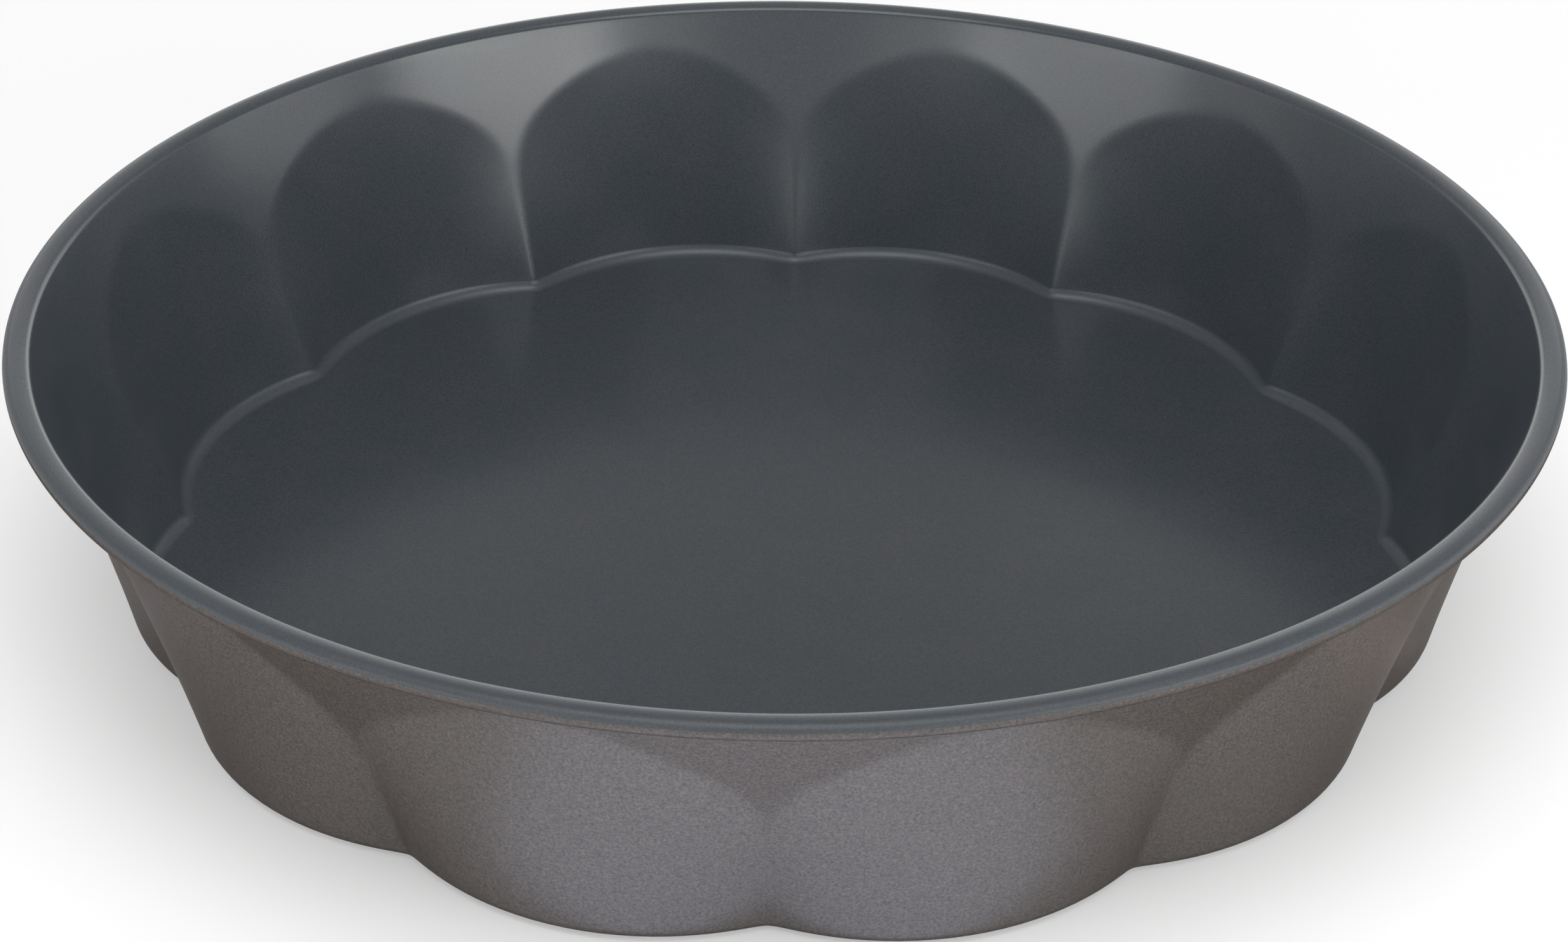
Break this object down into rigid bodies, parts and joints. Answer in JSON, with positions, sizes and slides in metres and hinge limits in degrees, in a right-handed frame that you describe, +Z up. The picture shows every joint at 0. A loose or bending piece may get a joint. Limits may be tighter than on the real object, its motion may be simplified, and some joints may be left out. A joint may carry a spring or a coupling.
{
  "type": "fluted cake pan",
  "caption": "Round non-stick cake pan with a flat floor, a wall pressed into petals and a rolled rim, for baking a flower-shaped cake or tart base.",
  "frame": {"origin": "centre of the floor's underside, on the surface that the pan stands on", "axes": "+Z up along the pan's axis, -Y towards the picture's viewer, +X to the viewer's right"},
  "size_m": [0.28, 0.28, 0.056],
  "materials": {
    "nonstick_coated_steel": "cool dark grey satin non-stick coat with a fine metallic grain inside, warm taupe-grey satin metallic coat outside, on thin steel sheet",
    "steel_wire": "bare drawn steel wire, hidden in the rolled rim"
  },
  "bodies": {
    "root": {"pan_shell": "nonstick_coated_steel", "rim_wire": "steel_wire"}
  },
  "joints": []
}
